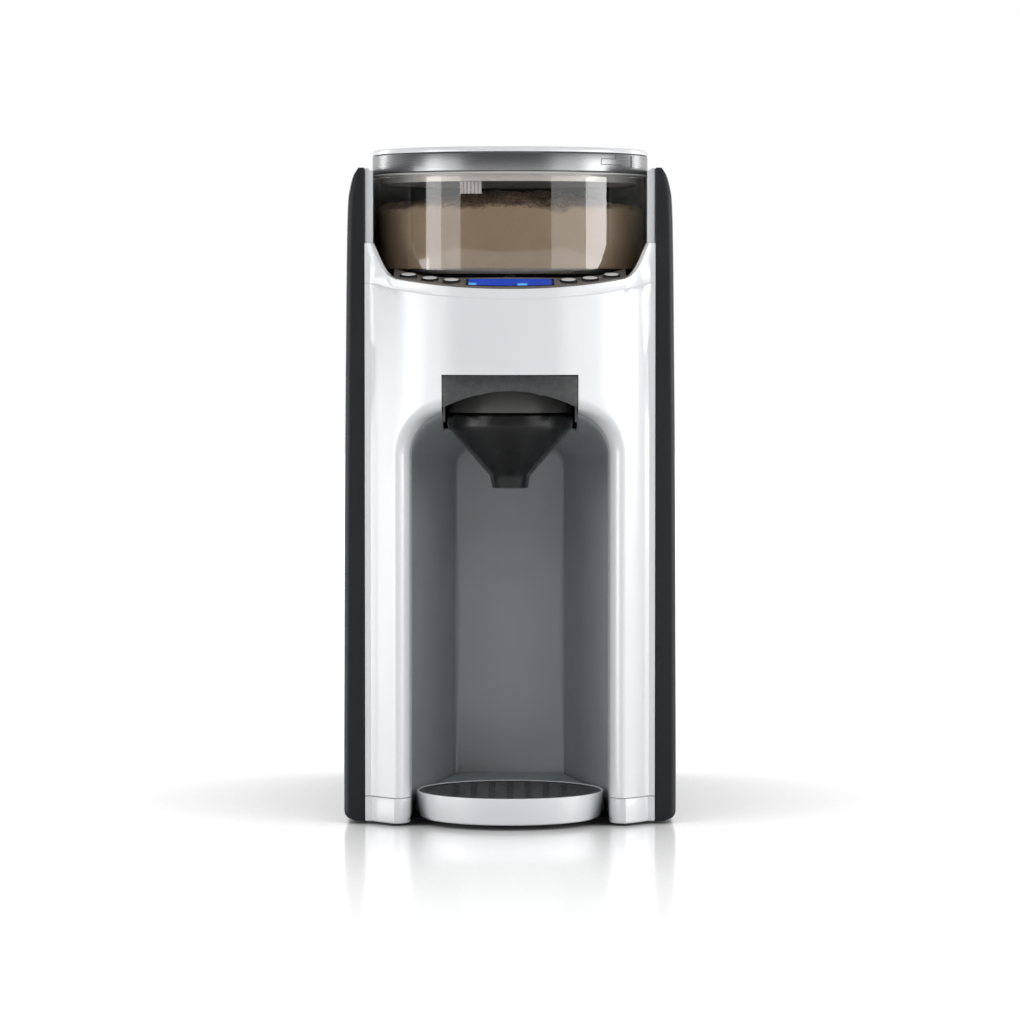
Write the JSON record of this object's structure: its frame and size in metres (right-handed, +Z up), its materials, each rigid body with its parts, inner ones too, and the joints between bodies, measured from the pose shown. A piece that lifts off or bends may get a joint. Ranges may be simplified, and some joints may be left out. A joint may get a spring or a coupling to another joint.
{
  "type": "baby formula maker",
  "caption": "Countertop formula maker: white arched front over a bottle bay, dark sides, clear round powder hopper with lid, funnel drawer, drip tray and rear water tank.",
  "frame": {"origin": "centre of the footprint, on the surface that the feet stand on", "axes": "+Z up, front towards -Y, width along X with +X on the right seen from the front"},
  "size_m": [0.164, 0.29, 0.3335],
  "materials": {
    "white_shell": "glossy white ABS",
    "charcoal_panel": "satin charcoal ABS",
    "bay_grey": "satin blue-grey ABS",
    "dark_housing": "smooth dark grey ABS",
    "smoke_clear": "clear smoky copolyester",
    "smoke_funnel": "dark smoky copolyester",
    "powder": "loose cream powder",
    "silver_trim": "silver-grey satin",
    "grille_dark": "moulded dark grille",
    "display": "lit blue display behind a gloss window",
    "steel": "plain steel",
    "aluminium": "cast aluminium",
    "gear_white": "natural acetal",
    "board_green": "circuit board",
    "hose_clear": "clear silicone",
    "rubber": "black rubber"
  },
  "bodies": {
    "root": {"base_pan": "white_shell", "bay_liner": "bay_grey", "control_board": "board_green", "control_panel": "dark_housing", "cover_screw_left": "steel", "cover_screw_right": "steel", "display_window": "display", "foot_front_left": "rubber", "foot_front_right": "rubber", "foot_rear_left": "rubber", "foot_rear_right": "rubber", "front_shell": "white_shell", "gear_motor": "steel", "gear_plate": "dark_housing", "heater_hose": "hose_clear", "hopper_deck": "dark_housing", "lower_bush": "gear_white", "powder_chute": "gear_white", "power_board": "board_green", "power_inlet": "dark_housing", "pump_hose": "hose_clear", "rear_cover": "charcoal_panel", "side_panel_left": "charcoal_panel", "side_panel_right": "charcoal_panel", "side_plate_left": "white_shell", "side_plate_right": "white_shell", "spray_nozzle": "gear_white", "tank_base": "charcoal_panel", "tank_gasket": "rubber", "tank_hose": "hose_clear", "tank_socket": "gear_white", "top_cover": "dark_housing", "upper_bush": "gear_white", "water_heater": "aluminium", "water_pump": "dark_housing"},
    "hopper": {"powder_container": "smoke_clear", "powder_fill": "powder"},
    "wheels": {"dosing_wheel": "gear_white", "stirring_wheel": "gear_white"},
    "drive": {"drive_gear": "gear_white"},
    "pinion": {"motor_pinion": "steel"},
    "lid": {"lid_cap": "white_shell", "lid_seal": "hose_clear"},
    "lid_band": {"lid_ring": "silver_trim"},
    "drawer": {"funnel_cover": "dark_housing"},
    "funnel_body": {"funnel": "smoke_funnel"},
    "tray": {"tray_carrier": "bay_grey", "bottle_tray": "white_shell"},
    "grille": {"drip_grille": "grille_dark"},
    "tank": {"water_tank": "smoke_clear"},
    "tank_flap": {"tank_lid": "charcoal_panel"},
    "valve": {"tank_valve": "rubber", "valve_spring": "steel"},
    "press_left_1": {"button_left_1": "silver_trim"},
    "press_left_2": {"button_left_2": "silver_trim"},
    "press_left_3": {"button_left_3": "silver_trim"},
    "press_right_1": {"button_right_1": "silver_trim"},
    "press_right_2": {"button_right_2": "silver_trim"},
    "press_right_3": {"button_right_3": "silver_trim"}
  },
  "joints": [
    {"name": "hopper_lift", "type": "slide", "parent": "root", "child": "hopper", "axis": [0, 0, 1], "range_m": [0, 0.09]},
    {"name": "drive_spin", "type": "hinge", "parent": "root", "child": "drive", "pos_m": [0, -0.061, 0.231], "axis": [0, 0, 1], "continuous": true},
    {"name": "pinion_spin", "type": "hinge", "parent": "root", "child": "pinion", "pos_m": [0, -0.035, 0.231], "axis": [0, 0, 1], "continuous": true},
    {"name": "stirrer_spin", "type": "hinge", "parent": "hopper", "child": "wheels", "pos_m": [0, -0.061, 0.2715], "axis": [0, 0, 1], "continuous": true},
    {"name": "lid_lift", "type": "slide", "parent": "hopper", "child": "lid", "axis": [0, 0, 1], "range_m": [0, 0.05]},
    {"name": "lid_band_twist", "type": "hinge", "parent": "lid", "child": "lid_band", "pos_m": [0, -0.061, 0.3197], "axis": [0, 0, 1], "range_deg": [0, 30]},
    {"name": "funnel_slide", "type": "slide", "parent": "root", "child": "drawer", "axis": [0, -1, 0], "range_m": [0, 0.075]},
    {"name": "funnel_drop", "type": "slide", "parent": "drawer", "child": "funnel_body", "axis": [0, 0, -1], "range_m": [0, 0.03]},
    {"name": "tray_height", "type": "slide", "parent": "root", "child": "tray", "axis": [0, 0, 1], "range_m": [0, 0.06]},
    {"name": "grille_lift", "type": "slide", "parent": "tray", "child": "grille", "axis": [0, 0, 1], "range_m": [0, 0.03]},
    {"name": "tank_lift", "type": "slide", "parent": "root", "child": "tank", "axis": [0, 0, 1], "range_m": [0, 0.13]},
    {"name": "tank_lid_hinge", "type": "hinge", "parent": "tank", "child": "tank_flap", "pos_m": [0, 0.0895, 0.28665], "axis": [1, 0, 0], "range_deg": [0, 95]},
    {"name": "valve_slide", "type": "slide", "parent": "tank", "child": "valve", "axis": [0, 0, 1], "range_m": [0, 0.004], "stiffness_N_per_m": 150, "springref_m": -0.004, "deforming": ["valve_spring"]},
    {"name": "button_left_1_travel", "type": "slide", "parent": "root", "child": "press_left_1", "axis": [0, 0.2334, -0.9724], "range_m": [0, 0.0008], "stiffness_N_per_m": 400},
    {"name": "button_left_2_travel", "type": "slide", "parent": "root", "child": "press_left_2", "axis": [0, 0.2334, -0.9724], "range_m": [0, 0.0008], "stiffness_N_per_m": 400},
    {"name": "button_left_3_travel", "type": "slide", "parent": "root", "child": "press_left_3", "axis": [0, 0.2334, -0.9724], "range_m": [0, 0.0008], "stiffness_N_per_m": 400},
    {"name": "button_right_1_travel", "type": "slide", "parent": "root", "child": "press_right_1", "axis": [0, 0.2334, -0.9724], "range_m": [0, 0.0008], "stiffness_N_per_m": 400},
    {"name": "button_right_2_travel", "type": "slide", "parent": "root", "child": "press_right_2", "axis": [0, 0.2334, -0.9724], "range_m": [0, 0.0008], "stiffness_N_per_m": 400},
    {"name": "button_right_3_travel", "type": "slide", "parent": "root", "child": "press_right_3", "axis": [0, 0.2334, -0.9724], "range_m": [0, 0.0008], "stiffness_N_per_m": 400}
  ],
  "couplings": [
    {"joint": "stirrer_spin", "follows": "drive_spin", "ratio": 1},
    {"joint": "pinion_spin", "follows": "drive_spin", "ratio": -3.3333}
  ]
}
